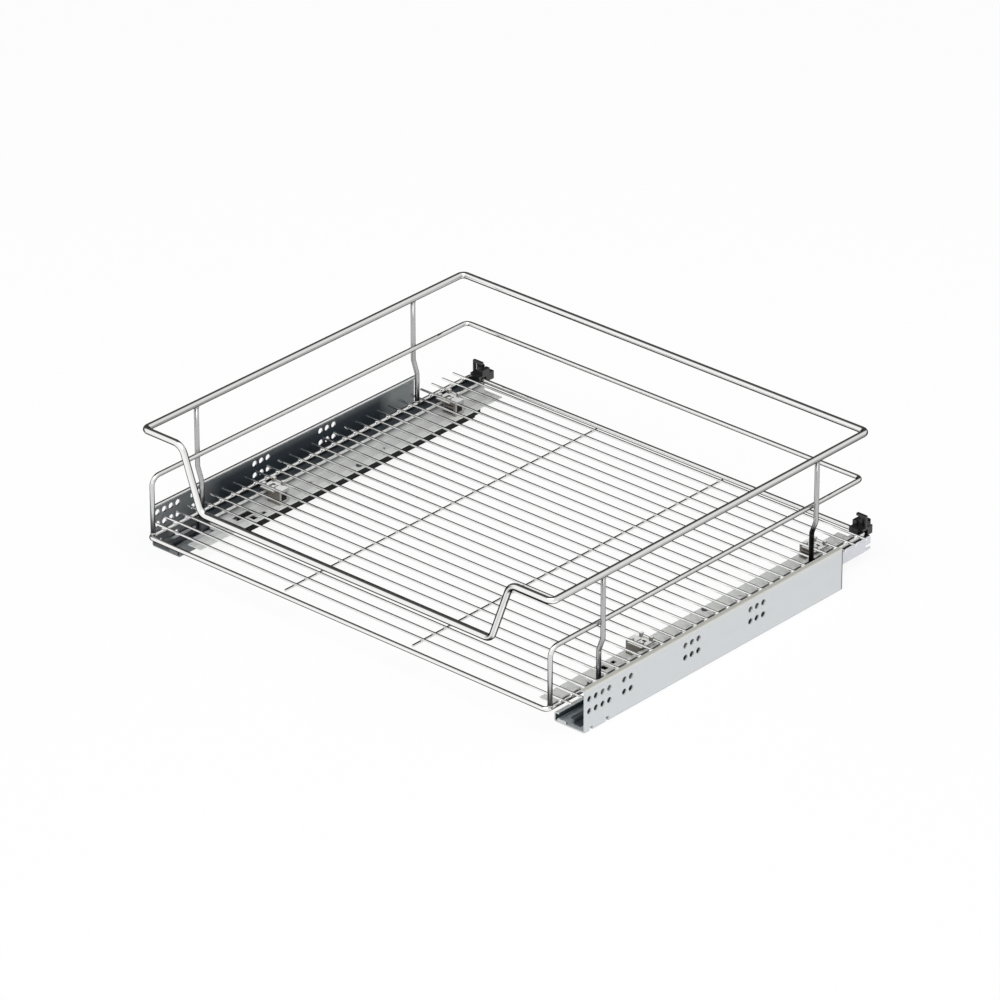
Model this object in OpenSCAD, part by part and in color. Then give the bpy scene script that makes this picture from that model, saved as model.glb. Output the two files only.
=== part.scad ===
// Pull-out wire basket on a pair of full-extension undermount runners.
// Frame: +X to the right, -Y towards the user (the way it opens), +Z up.
// Origin: middle of the width and of the depth, on the plane that the runners stand on.
// Lengths are in millimetres. Each runner is drawn for the left side, with x = 0 on the
// cabinet side panel and x growing inwards, and is mirrored for the right side.

/* [Basket] */
// Clear width between the cabinet side panels
cabinet_w = 564; // [420:1:1164]
// Depth of the basket over its floor frame
basket_depth = 476; // [400:1:560]
// Height of the top rail above the floor frame, centre to centre
basket_h = 116.5; // [95:0.5:180]
// Height of the mid rail above the floor frame, centre to centre
mid_rail_h = 63.5; // [58:0.5:80]
// Room between the top rail and the cabinet side panel
side_room = 15.1; // [14:0.1:25]
// Distance of the top rail behind the front of the floor frame
rail_set_front = 1.1; // [1.1:0.1:8]
// Distance of the top rail in front of the back of the floor frame
rail_set_back = 7.5; // [4:0.5:15]

/* [Wire] */
// Diameter of the top rail
rail_d = 7; // [5:0.5:9]
// Diameter of the floor frame, the mid rail and the posts
frame_d = 5; // [4:0.5:6]
// Diameter of the floor wires
floor_wire_d = 2.5; // [2:0.25:4]
// Diameter of the two wires under the floor wires
cross_wire_d = 3; // [2.5:0.25:4.5]
// Distance between neighbouring floor wires
wire_pitch = 16.2; // [12:0.1:24]
// Distance of the first floor wire behind the front of the floor frame
first_wire = 19.5; // [14:0.5:30]
// Least distance of the last floor wire from the back of the floor frame
last_wire_room = 13; // [10:0.5:30]
// Length of the floor wires beyond the floor frame on each side
wire_overhang = 13.5; // [4:0.5:14]
// Distance between the two cross wires
cross_wire_spacing = 166; // [80:1:300]
// Room between the ends of the cross wires and the floor frame
cross_wire_room = 4; // [1:0.5:12]

/* [Bends] */
// Corner radius of the top rail and the mid rail, on the wire's centre line
rail_corner_r = 6; // [5:0.5:20]
// Radius of the mid rail's bends above its front legs
leg_bend_r = 10; // [6:0.5:20]
// Corner radius of the floor frame, on the wire's centre line
frame_corner_r = 5; // [4:0.5:8]
// Width of the dip in the front of the top rail, at its top
dip_top_w = 425; // [300:1:470]
// Width of the dip at its bottom
dip_bottom_w = 376; // [200:1:390]
// Depth of the dip
dip_depth = 67; // [50:0.5:70]
// Radius of the dip's upper bends
dip_upper_r = 13; // [9:0.5:18]
// Radius of the dip's lower bends
dip_lower_r = 11; // [10:0.5:20]

/* [Posts] */
// Distance of each post from the end of the top rail
post_set = 73; // [40:0.5:120]
// Height above the floor frame at which a post starts to lean inwards
jog_top = 48; // [40:0.5:55]
// Height above the floor frame at which it stands upright again
jog_bottom = 34; // [20:0.5:38]
// Radius of the two small bends in a post
jog_r = 8; // [5:0.5:15]

/* [Runner] */
// Length of the cabinet profile
runner_l = 380; // [340:1:420]
// Distance of the runner behind the front of the basket
runner_set = 30; // [20:1:40]
// How far the basket pulls out
travel = 400; // [200:5:400]
// Sheet thickness of the cabinet profile and the middle profile
sheet_t = 1.5; // [1.2:0.1:1.6]
// Sheet thickness of the drawer profile
drawer_t = 1.2; // [1:0.1:1.4]
// Height of the tall plate that is screwed to the cabinet side
plate_h = 45.4; // [42:0.1:60]
// Width of the lip at the top of that plate
plate_lip = 6; // [4:0.5:7]
// Width of the cabinet profile
channel_w = 38; // [38:0.5:40]
// Width of the lip that is turned over the channel
return_w = 6; // [5.5:0.1:6.5]
// Diameter of the balls
ball_d = 2.8; // [2.6:0.1:2.9]
// Clearance of a ball on each side, between its two tracks
ball_play = 0.1; // [0.05:0.05:0.2]
// Distance between neighbouring balls
ball_pitch = 21; // [12:1:40]
// How far the drawer profile reaches behind the floor frame
drawer_reach = 2; // [0:0.5:4]
// Height of the drawer profile's outer wall
drawer_wall_h = 16; // [15.5:0.1:16.5]
// How far the middle profile starts behind the front of the runner
middle_set = 38; // [20:1:60]
// Length at the drawer profile's front that is a flat strip only
strip_l = 39; // [20:1:60]
// Width of the drawer profile's top
drawer_top_w = 17; // [17:0.1:18]
// Width of the drawer profile's inner flange
flange_w = 24; // [24:0.5:30]
// Depth of the step from the drawer profile's top to its flange
flange_drop = 10.8; // [10:0.1:11]

/* [Screw holes] */
// Diameter of the screw holes in the tall plate
screw_d = 6.4; // [4:0.1:7]
// Distance between neighbouring holes of a group
screw_pitch = 9.5; // [8:0.1:12]
// Distance between the two rows of holes
row_pitch = 13; // [9:0.5:16]
// Distance of the upper row below the top of the plate
row_drop = 10.5; // [8:0.5:14]
// Distance between the two rear groups, three steps of the 32 mm cabinet grid
group_pitch = 96; // [64:32:96]
// Distance of the last group behind the front of the runner
rear_group_set = 241; // [200:1:270]

/* [Closing unit] */
// Length of the soft-close housing
housing_l = 335; // [300:1:350]
// Distance of the housing behind the front of the runner
housing_set = 81; // [60:1:90]
// Distance of the catch pin behind the front of the housing
catch_set = 158; // [100:1:180]
// Height of the housing
housing_h = 12.5; // [12:0.1:12.6]
// Wall thickness of the housing
housing_wall = 1.2; // [1:0.1:1.4]
// Diameter of the damper's cylinder
damper_d = 7; // [5:0.5:7]
// Diameter of the damper's rod
rod_d = 2.4; // [2:0.1:3]
// Diameter of the pin that the slider catches
catch_pin_d = 4; // [3:0.5:4.5]

/* [Hidden] */

$fn = 48;
eps = 0.01;
half_w = cabinet_w / 2;

// Running clearances
gap = 0.3;
wide_gap = 0.5;

// Along the depth: the rear brackets stick out behind the floor frame
bracket_reach = 14;
total_depth = basket_depth + bracket_reach;
front_y = -total_depth / 2;
frame_front_y = front_y + frame_d / 2;
frame_back_y = front_y + basket_depth - frame_d / 2;
rail_front_y = frame_front_y + rail_set_front;
rail_back_y = frame_back_y - rail_set_back;
bracket_back_y = front_y + total_depth;

// Runner heights, from the plane it stands on upwards
track_gap = ball_d + 2 * ball_play;
foot_z = sheet_t + track_gap;
foot_top_z = foot_z + sheet_t;
return_z = foot_top_z + track_gap;
lip_h = return_z + sheet_t;
middle_h = 17.3;
middle_top_z = foot_z + middle_h;
drawer_under_z = middle_top_z + track_gap;
drawer_top_z = drawer_under_z + drawer_t;
drawer_low_z = drawer_top_z - drawer_wall_h;
flange_top_z = drawer_top_z - flange_drop;

// Runner positions along the depth
runner_y = front_y + runner_set;
runner_back_y = runner_y + runner_l;
buffer_t = 3.7;
middle_y = runner_y + middle_set;
middle_back_y = runner_back_y - buffer_t - gap;
drawer_set = 5;
drawer_y = runner_y + drawer_set;
drawer_back_y = front_y + basket_depth + drawer_reach;
stop_t = sheet_t;
sheet_bend_r = sheet_t / 2 + 0.5;

// Runner positions across, measured inwards from the cabinet side panel
drawer_u = 20;
drawer_in_u = drawer_u + drawer_top_w;
flange_end_u = drawer_in_u + flange_w;
lower_foot_u = 19.6;
foot_w = 15;
skirt_u = drawer_u + drawer_t + 1.3;
web_u = 29;
upper_flange_end_u = 33.5;
return_in_u = channel_w - return_w;
// The balls that hold the foot down sit under the returned lip, and so does one row below the foot
hold_ball_u = (return_in_u + lower_foot_u + foot_w) / 2;
lower_ball_u = [lower_foot_u + 2.9, hold_ball_u];
upper_ball_u = [skirt_u + 3.3, upper_flange_end_u - 1.3];
// Stop tabs across, at the ends of the tracks
lower_stop_u = [web_u - 6, web_u + 5];
upper_stop_u = [web_u - 4.5, web_u + 3.5];
guide_u = lower_foot_u - 1.1;
guide_foot_u = guide_u - 8.5;
guide_lip_w = 5;
guide_play = 0.4;
guide_y = runner_y + 5;
guide_back_y = runner_back_y - 5;

// Heights in the basket, from the plane that the runners stand on
frame_z = drawer_top_z + frame_d / 2;
floor_wire_z = frame_z + frame_d / 2 + floor_wire_d / 2;
cross_wire_z = floor_wire_z - floor_wire_d / 2 - cross_wire_d / 2;
floor_top_z = floor_wire_z + floor_wire_d / 2;
top_rail_z = frame_z + basket_h;
mid_rail_z = frame_z + mid_rail_h;

// Half widths in the basket, on the wires' centre lines
rail_x = half_w - side_room - rail_d / 2;
frame_x = rail_x - frame_d;
wire_l = 2 * (frame_x + wire_overhang);
wire_count = floor((frame_back_y - frame_front_y - first_wire - last_wire_room) / wire_pitch) + 1;

// Clips sit in the gaps between two neighbouring floor wires
front_clip_gap = 8;
rear_clip_gap = wire_count - 4;

// Colours
chrome = [0.80, 0.81, 0.82];
zinc = [0.74, 0.76, 0.77];
warm_zinc = [0.74, 0.74, 0.71];
black = [0.06, 0.06, 0.065];
grey = [0.72, 0.72, 0.71];

function wire_y(k) = frame_front_y + first_wire + k * wire_pitch;
function unit(v) = v / norm(v);
function turn(a, b, c) = acos(max(-1, min(1, unit(b - a) * unit(c - b))));
function cut(a, b, c, r) = r * tan(turn(a, b, c) / 2);

// A bend that isn't square is a hair thicker than the wire, which reaches a little into it
bend_swell = 0.1;
bend_bite = 0.5;
function is_square(a, b, c) = abs(turn(a, b, c) - 90) < 0.001;
function setback(a, b, c, r) = cut(a, b, c, r) - (is_square(a, b, c) ? 0 : bend_bite);
function bend_d(a, b, c, d) = is_square(a, b, c) ? d : d + bend_swell;

// Left or right side of the object, from the left one
module on_side(side) {
    if (side == "left") {
        translate([-half_w, 0, 0]) children();
    } else {
        mirror([1, 0, 0]) translate([-half_w, 0, 0]) children();
    }
}

// Box between two corners
module block(a, b) {
    translate(a) cube(b - a);
}

// A 2D outline in (x, z) carried along Y
module along_y(y0, y1) {
    translate([0, y1, 0]) rotate([90, 0, 0]) linear_extrude(y1 - y0) children();
}

// Round bar along Y between two heights of Y
module bar_y(x, y0, y1, z, d) {
    translate([x, y1, z]) rotate([90, 0, 0]) cylinder(d = d, h = y1 - y0);
}

// Straight length of wire between two points
module rod(a, b, d) {
    v = b - a;
    l = norm(v);
    tilt = acos(v[2] / l);
    spin = atan2(v[1], v[0]);
    translate(a) rotate([0, tilt, spin]) cylinder(d = d, h = l);
}

// Bend at b, on the way from a to c, with radius r on the centre line
module elbow(a, b, c, r, d) {
    u = unit(b - a);
    angle = turn(a, b, c);
    n = unit(cross(u, unit(c - b)));
    m = cross(n, u);
    o = b - u * cut(a, b, c, r) + m * r;
    multmatrix([
        [-m[0], u[0], n[0], o[0]],
        [-m[1], u[1], n[1], o[1]],
        [-m[2], u[2], n[2], o[2]],
        [0, 0, 0, 1]
    ])
        rotate_extrude(angle = angle) translate([r, 0]) circle(d = bend_d(a, b, c, d));
}

// Open wire through points p, with bend radius r[i] at p[i]; the ends take no bend
module open_wire(p, r, d) {
    last = len(p) - 1;
    for (i = [0 : last - 1]) {
        along = unit(p[i + 1] - p[i]);
        a = i == 0 ? p[0] : p[i] + along * setback(p[i - 1], p[i], p[i + 1], r[i]);
        b = i == last - 1 ? p[last] : p[i + 1] - along * setback(p[i], p[i + 1], p[i + 2], r[i + 1]);
        rod(a, b, d);
    }
    for (i = [1 : last - 1]) elbow(p[i - 1], p[i], p[i + 1], r[i], d);
}

// Closed loop of wire through points p, with bend radius r[i] at p[i]
module closed_wire(p, r, d) {
    n = len(p);
    for (i = [0 : n - 1]) {
        h = (i + n - 1) % n;
        j = (i + 1) % n;
        k = (i + 2) % n;
        along = unit(p[j] - p[i]);
        rod(p[i] + along * setback(p[h], p[i], p[j], r[i]),
            p[j] - along * setback(p[i], p[j], p[k], r[j]), d);
        elbow(p[h], p[i], p[j], r[i], d);
    }
}

// 2D strip of sheet of thickness t through points p, bent with radius r on its middle line
module sheet_outline(p, t, r) {
    last = len(p) - 1;
    for (i = [0 : last - 1]) {
        v = unit(p[i + 1] - p[i]);
        a = i == 0 ? p[0] : p[i] + v * r;
        b = i == last - 1 ? p[last] : p[i + 1] - v * r;
        side = [-v[1], v[0]] * t / 2;
        polygon([a + side, b + side, b - side, a - side]);
    }
    for (i = [1 : last - 1]) {
        u = unit(p[i] - p[i - 1]);
        v = unit(p[i + 1] - p[i]);
        o = p[i] - u * r + v * r;
        far = r + t;
        intersection() {
            difference() {
                translate(o) circle(r = r + t / 2);
                translate(o) circle(r = r - t / 2);
            }
            polygon([o, o - v * far, o - v * far + u * far, o + u * far]);
        }
    }
}

// The fixed part of a runner

module screw_hole(y, row) {
    z = plate_h - row_drop - row * row_pitch;
    translate([-1, y, z]) rotate([0, 90, 0]) cylinder(d = screw_d, h = sheet_t + 2);
}

// Groups of holes: first hole behind the runner's front, and number of holes in a row
rear_group_y = runner_y + rear_group_set;
hole_groups = [
    [runner_y + 6.5, 4],
    [runner_y + 56.5, 2],
    [rear_group_y - group_pitch, 3],
    [rear_group_y, 3]
];

// Reliefs in the bottom edge, on both sides of the front tab: distance behind the front, length, height
bottom_reliefs = [[7, 5, 4.5], [30, 4.5, 5.5]];

guide_rivet_y = [runner_y + 30, runner_y + runner_l / 2, runner_back_y - 30];
guide_rivet_d = 3;
guide_rivet_u = (guide_foot_u + guide_u) / 2 - sheet_t / 2;
lug_l = 10;
lug_z = [4, 7];
function lug_y(k) = housing_y + 30 + k * (runner_back_y - housing_y - 60 - lug_l);

module cabinet_profile() {
    t = sheet_t;
    color(zinc)
    difference() {
        union() {
            along_y(runner_y, runner_back_y)
                sheet_outline([
                    [plate_lip, plate_h - t / 2], [t / 2, plate_h - t / 2], [t / 2, t / 2],
                    [channel_w - t / 2, t / 2], [channel_w - t / 2, lip_h - t / 2],
                    [return_in_u, lip_h - t / 2]
                ], t, sheet_bend_r);
            block([lower_stop_u[0], runner_y, t - eps], [lower_stop_u[1], runner_y + stop_t, foot_z - gap]);
        }
        for (g = hole_groups, k = [0 : g[1] - 1], row = [0, 1]) screw_hole(g[0] + k * screw_pitch, row);
        for (r = bottom_reliefs)
            block([-1, runner_y + r[0], -1], [t + 4, runner_y + r[0] + r[1], r[2]]);
        for (y = guide_rivet_y) translate([guide_rivet_u, y, -1]) cylinder(d = guide_rivet_d, h = t + 2);
        for (k = [0, 1])
            block([channel_w - t - 1, lug_y(k) - gap / 2, lug_z[0] - gap / 2],
                [channel_w + 1, lug_y(k) + lug_l + gap / 2, lug_z[1] + gap / 2]);
    }
}

// Strip that holds the outer foot of the middle profile down
module guide_strip() {
    t = sheet_t;
    lip_z = foot_top_z + guide_play + t / 2;
    wall_mid_z = (lip_z + 1.5 * t) / 2;
    lap = 0.5;
    color(zinc)
    difference() {
        // The foot and the lip, which share the middle of the upright wall
        union() {
            along_y(guide_y, guide_back_y)
                sheet_outline([
                    [guide_foot_u, t + t / 2], [guide_u - t / 2, t + t / 2],
                    [guide_u - t / 2, wall_mid_z + lap]
                ], t, sheet_bend_r);
            along_y(guide_y, guide_back_y)
                sheet_outline([
                    [guide_u - t / 2, wall_mid_z - lap], [guide_u - t / 2, lip_z],
                    [guide_u - t + guide_lip_w, lip_z]
                ], t, sheet_bend_r);
        }
        for (y = guide_rivet_y) translate([guide_rivet_u, y, 0]) cylinder(d = guide_rivet_d, h = 3 * t);
    }
}

module guide_rivets() {
    color(zinc)
    for (y = guide_rivet_y) translate([guide_rivet_u, y, 0]) {
        cylinder(d = guide_rivet_d, h = 2 * sheet_t + eps);
        translate([0, 0, 2 * sheet_t]) cylinder(d = guide_rivet_d + 2.6, h = 0.8);
    }
}

module stop_buffer() {
    color(black)
    block([lower_foot_u + 1, middle_back_y + gap, sheet_t],
        [lower_foot_u + foot_w - 1, runner_back_y, foot_z + 2]);
}

// The closing unit beside the channel: a deep box for damper and spring, and a slot for the slider

housing_y = runner_y + housing_set;
housing_back_y = housing_y + housing_l;
housing_z = 1;
housing_top_z = housing_z + housing_h;
slot_w = 6.3;
slot_floor_z = 8.5;
deep_w = 14.5;
deep_in_u = channel_w + housing_wall;
deep_out_u = channel_w + deep_w - housing_wall;
slot_u = channel_w + deep_w;
slot_end_u = slot_u + slot_w;
slot_mid_u = (slot_u + slot_end_u) / 2;
catch_y = housing_y + catch_set;
slider_play = 0.3;
slider_stroke = 40;
arm_t = 3;
arm_y = catch_y + 6;
pin_low_z = slot_floor_z + housing_wall + 1.3;
tooth_y = catch_y + catch_pin_d / 2 + gap;
damper_u = deep_in_u + 0.5 + damper_d / 2;
damper_z = housing_z + housing_wall + 1 + damper_d / 2;
damper_y = catch_y + 21;
damper_back_y = housing_back_y - housing_wall;
damper_end_t = 2;
piston_l = 4;
// With the basket shut the piston is near the closed end of the cylinder
piston_y = damper_back_y - damper_end_t - 10 - piston_l;
spring_od = 4;
spring_id = 2.8;
spring_u = deep_out_u - 0.4 - spring_od / 2;

module damper_housing() {
    w = housing_wall;
    color(black)
    difference() {
        union() {
            block([channel_w, housing_y, housing_z], [slot_u, housing_back_y, housing_top_z]);
            block([slot_u - eps, housing_y, slot_floor_z], [slot_end_u + w, housing_back_y, housing_top_z]);
            for (k = [0, 1])
                block([channel_w - sheet_t, lug_y(k), lug_z[0]],
                    [channel_w + eps, lug_y(k) + lug_l, lug_z[1]]);
        }
        block([deep_in_u, housing_y + w, housing_z - 1],
            [deep_out_u, housing_back_y - w, housing_top_z - w]);
        block([slot_u, housing_y - 1, slot_floor_z + w],
            [slot_end_u, housing_back_y - w, housing_top_z + 1]);
        block([deep_out_u - 1, catch_y - slider_stroke, slot_floor_z + w],
            [slot_u + 1, arm_y + arm_t + 2, housing_top_z - w]);
    }
}

module damper_cover() {
    color(black)
    block([deep_in_u + 0.1, housing_y + housing_wall + 0.1, housing_z],
        [deep_out_u - 0.1, housing_back_y - housing_wall - 0.1, housing_z + 1]);
}

module damper_cylinder() {
    color(grey)
    difference() {
        bar_y(damper_u, damper_y, damper_back_y, damper_z, damper_d);
        bar_y(damper_u, damper_y + damper_end_t, damper_back_y - damper_end_t, damper_z, damper_d - 1.6);
        bar_y(damper_u, damper_y - 1, damper_y + 3, damper_z, rod_d + 0.2);
    }
}

module damper_rod() {
    color(chrome) {
        bar_y(damper_u, arm_y + arm_t, piston_y + piston_l, damper_z, rod_d);
        bar_y(damper_u, piston_y, piston_y + piston_l, damper_z, damper_d - 1.8);
    }
}

module closing_spring() {
    color(zinc)
    difference() {
        bar_y(spring_u, arm_y + arm_t, housing_back_y - housing_wall, damper_z, spring_od);
        bar_y(spring_u, arm_y + arm_t - 1, housing_back_y, damper_z, spring_id);
    }
}

module catch_slider() {
    p = slider_play;
    low_z = slot_floor_z + housing_wall + p;
    arm_top_z = housing_top_z - housing_wall - p;
    color([0.75, 0.75, 0.73]) {
        block([slot_u + p, catch_y - 14, low_z], [slot_end_u - p, tooth_y + 9, pin_low_z - p]);
        block([slot_u + p, tooth_y, low_z], [slot_end_u - p, tooth_y + 9, housing_top_z - p]);
        block([damper_u - 2.5, arm_y, low_z + 0.2], [slot_u + p + eps, arm_y + arm_t, arm_top_z]);
        block([damper_u - 2.5, arm_y, damper_z - 3], [deep_out_u - p, arm_y + arm_t, arm_top_z]);
    }
}

// The moving profiles and the balls between them

module middle_profile() {
    t = sheet_t;
    foot_mid_z = foot_z + t / 2;
    top_mid_z = middle_top_z - t / 2;
    skirt_low_z = drawer_low_z + drawer_t + 0.4;
    color(zinc) {
        along_y(middle_y, middle_back_y) {
            sheet_outline([
                [lower_foot_u, foot_mid_z], [web_u - t / 2, foot_mid_z], [web_u - t / 2, top_mid_z],
                [skirt_u + t / 2, top_mid_z], [skirt_u + t / 2, skirt_low_z]
            ], t, sheet_bend_r);
            sheet_outline([
                [lower_foot_u + foot_w, foot_mid_z], [web_u + t / 2, foot_mid_z], [web_u + t / 2, top_mid_z],
                [upper_flange_end_u, top_mid_z]
            ], t, sheet_bend_r);
        }
        // Tabs that stop the two cages when the runner is fully out
        block([upper_stop_u[0], middle_y, middle_top_z - eps - t / 2],
            [upper_stop_u[1], middle_y + stop_t, drawer_under_z - gap]);
        block([lower_stop_u[0], middle_back_y - stop_t, sheet_t + gap],
            [lower_stop_u[1], middle_back_y, foot_z + eps + t / 2]);
    }
}

cage_t = 1;
cage_wall_t = 0.8;
cage_room = 0.8;
hole_play = 0.3;

// Rest place of each cage: it is halfway between its two profiles' ends at full pull-out
lower_cage_y = runner_y + stop_t + gap + travel / 4;
lower_cage_back_y = middle_back_y - travel / 4 - stop_t - gap;
upper_cage_y = middle_y + stop_t + gap + travel / 4;
upper_cage_back_y = drawer_back_y - travel / 4 - stop_t - gap;

function row_count(l) = floor((l - 10) / ball_pitch) + 1;
function row_start(y0, y1) = (y0 + y1 - (row_count(y1 - y0) - 1) * ball_pitch) / 2;

// Ball rows: place across and height
lower_rows = [for (u = lower_ball_u) [u, sheet_t + track_gap / 2]];
hold_row = [hold_ball_u, foot_top_z + track_gap / 2];
upper_rows = [for (u = upper_ball_u) [u, middle_top_z + track_gap / 2]];

module at_balls(rows, y0, y1) {
    for (r = rows, k = [0 : row_count(y1 - y0) - 1])
        translate([r[0], row_start(y0, y1) + k * ball_pitch, r[1]]) children();
}

module ball_holes(rows, y0, y1) {
    at_balls(rows, y0, y1) cylinder(d = ball_d + hole_play, h = 2 * cage_t, center = true);
}

module lower_cage() {
    low_z = lower_rows[0][1] - cage_t / 2;
    high_z = hold_row[1] + cage_t / 2;
    wall_u = channel_w - sheet_t - wide_gap;
    color(grey)
    difference() {
        union() {
            block([lower_foot_u - 0.2, lower_cage_y, low_z], [wall_u, lower_cage_back_y, low_z + cage_t]);
            block([wall_u - cage_wall_t, lower_cage_y, low_z], [wall_u, lower_cage_back_y, high_z]);
            block([web_u + sheet_t + wide_gap, lower_cage_y, high_z - cage_t],
                [wall_u, lower_cage_back_y, high_z]);
        }
        ball_holes(lower_rows, lower_cage_y, lower_cage_back_y);
        ball_holes([hold_row], lower_cage_y, lower_cage_back_y);
    }
}

module lower_balls() {
    color(chrome)
    at_balls([lower_rows[0], lower_rows[1], hold_row], lower_cage_y, lower_cage_back_y) sphere(d = ball_d);
}

module upper_cage() {
    top_z = upper_rows[0][1] + cage_t / 2;
    out_u = drawer_u + drawer_t + 0.25;
    in_u = drawer_in_u - drawer_t - 0.6;
    color(grey)
    difference() {
        union() {
            block([out_u, upper_cage_y, top_z - cage_t], [in_u, upper_cage_back_y, top_z]);
            block([out_u, upper_cage_y, drawer_low_z + drawer_t + cage_room],
                [out_u + cage_wall_t, upper_cage_back_y, top_z]);
            block([in_u - cage_t, upper_cage_y, flange_top_z + cage_room], [in_u, upper_cage_back_y, top_z]);
        }
        ball_holes(upper_rows, upper_cage_y, upper_cage_back_y);
    }
}

module upper_balls() {
    color(chrome)
    at_balls(upper_rows, upper_cage_y, upper_cage_back_y) sphere(d = ball_d);
}

// Openings in the drawer profile's flange, from the runner's front: u, y, width and length
flange_windows = [[51, 99.5, 5, 6], [49, 85, 8, 7], [38, 72, 9, 27], [38, 136.5, 3, 5]];
// Small three-cornered holes: u, y and the way that a corner points
flange_holes = [[44, 181, 180], [48.2, 284, 90], [45.3, 293, 180]];
flange_hole_d = 5.4;
tail_l = 25;
tail_rise = 1.8;
// Notch in the end of the outer wall: length, place above the wall's lower edge and height
tail_notch = [7, 3.7, 3.8];
// Width of the flange that is missing beside the flat strip at the front
strip_set = 7;

module drawer_profile() {
    t = drawer_t;
    wall_u = drawer_u + t / 2;
    step_u = drawer_in_u - t / 2;
    top_z = drawer_top_z - t / 2;
    low_z = drawer_low_z + t / 2;
    flange_z = flange_top_z - t / 2;
    color(warm_zinc)
    difference() {
        union() {
            along_y(drawer_y, drawer_back_y)
                sheet_outline([
                    [drawer_u + 4.8, low_z], [wall_u, low_z], [wall_u, top_z],
                    [step_u, top_z], [step_u, flange_z], [flange_end_u, flange_z]
                ], t, t / 2 + 0.6);
            // Tab that stops the upper cage
            block([upper_stop_u[0], drawer_back_y - stop_t, middle_top_z + gap],
                [upper_stop_u[1], drawer_back_y, drawer_under_z + eps]);
        }
        // Only a strip of the flange reaches the front
        block([drawer_u - 1, drawer_y - 1, drawer_low_z - 1],
            [drawer_in_u + strip_set, drawer_y + strip_l, drawer_top_z + 1]);
        block([drawer_u - 1, drawer_back_y - tail_notch[0], drawer_low_z + tail_notch[1]],
            [drawer_u + 2 * t, drawer_back_y + 1, drawer_low_z + tail_notch[1] + tail_notch[2]]);
        // The outer wall tapers at the back
        translate([drawer_u - 1, 0, 0]) rotate([90, 0, 90]) linear_extrude(8)
            polygon([
                [drawer_back_y - tail_l, drawer_low_z - 1], [drawer_back_y - tail_l, drawer_low_z],
                [drawer_back_y + 1, drawer_low_z + tail_rise], [drawer_back_y + 1, drawer_low_z - 1]
            ]);
        for (w = flange_windows)
            translate([w[0], runner_y + w[1], flange_z - 2]) cube([w[2], w[3], 4]);
        for (h = flange_holes)
            translate([h[0], runner_y + h[1], flange_z - 2])
                rotate(h[2]) cylinder(d = flange_hole_d, h = 4, $fn = 3);
        translate([slot_mid_u, catch_y, flange_z - 2]) cylinder(d = catch_pin_d, h = 4);
    }
}

module catch_pin() {
    color(zinc)
    translate([slot_mid_u, catch_y, 0]) {
        translate([0, 0, pin_low_z]) cylinder(d = catch_pin_d, h = flange_top_z - pin_low_z + eps);
        translate([0, 0, flange_top_z]) cylinder(d = catch_pin_d + 2.4, h = 1);
    }
}

// Plastic clip on the drawer profile's flange: its cap carries two floor wires, which its hooks hold down
module wire_clip(k) {
    play = 0.3;
    body_w = 17;
    cap_w = 17.5;
    cap_t = 1.6;
    cap_reach = 1.5;
    clip_hook_w = 3;
    clip_hook_t = 1.2;
    body_u = drawer_in_u + 2;
    cap_u = body_u - 6;
    y0 = wire_y(k) + floor_wire_d / 2 + play;
    y1 = wire_y(k + 1) - floor_wire_d / 2 - play;
    cap_z = floor_wire_z - floor_wire_d / 2 - play;
    over_z = floor_top_z + play;
    color(grey)
    difference() {
        union() {
            block([body_u, y0, flange_top_z], [body_u + body_w, y1, cap_z - eps]);
            block([cap_u, y0 - floor_wire_d - cap_reach, cap_z - cap_t],
                [cap_u + cap_w, y1 + floor_wire_d + cap_reach, cap_z]);
            // Each hook is a short upright between the wires and an arm over one of them
            for (u = [cap_u + 1, cap_u + cap_w - clip_hook_w - 1]) {
                block([u, y0, cap_z - eps], [u + clip_hook_w, y0 + clip_hook_t, over_z + clip_hook_t]);
                block([u, y0 - floor_wire_d, over_z], [u + clip_hook_w, y0 + eps, over_z + clip_hook_t]);
                block([u, y1 - clip_hook_t, cap_z - eps], [u + clip_hook_w, y1, over_z + clip_hook_t]);
                block([u, y1 - eps, over_z], [u + clip_hook_w, y1 + floor_wire_d, over_z + clip_hook_t]);
            }
        }
        // Hollow from behind, and a slot in the cap
        block([body_u + 2, y0 + 2, flange_top_z + 2], [body_u + body_w - 2, y1 + 1, cap_z - cap_t - 1]);
        block([cap_u + 6, y0 + 3, cap_z - cap_t - 2], [cap_u + 9, y1 - 3, cap_z + 1]);
    }
}

// Bracket behind the floor frame: it hooks over the frame and covers the drawer profile's end
bracket_u = drawer_u + 4;
bracket_w = 15;
bracket_play = 0.3;
hook_z = frame_z + frame_d / 2 + bracket_play;
hook_t = 2.4;
arm_z = hook_z + hook_t;
bracket_front_y = frame_back_y - frame_d / 2 - bracket_play;
bracket_wall_y = drawer_back_y + bracket_play;
bracket_body_y = bracket_wall_y + 7.2;
// The part that reaches farthest back: place across
heel_u = bracket_u + 7;
adjuster_u = bracket_u + 4.5;
adjuster_y = bracket_wall_y + 3.6;
adjuster_z = drawer_top_z + 1.5;
adjuster_d = 4;
// Upright parts on the bracket: place across, place behind its front, width, length and height
bracket_uprights = [[0, 3.8, 12, 3, 13], [10, 2, 5, 11, 5.5]];

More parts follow.
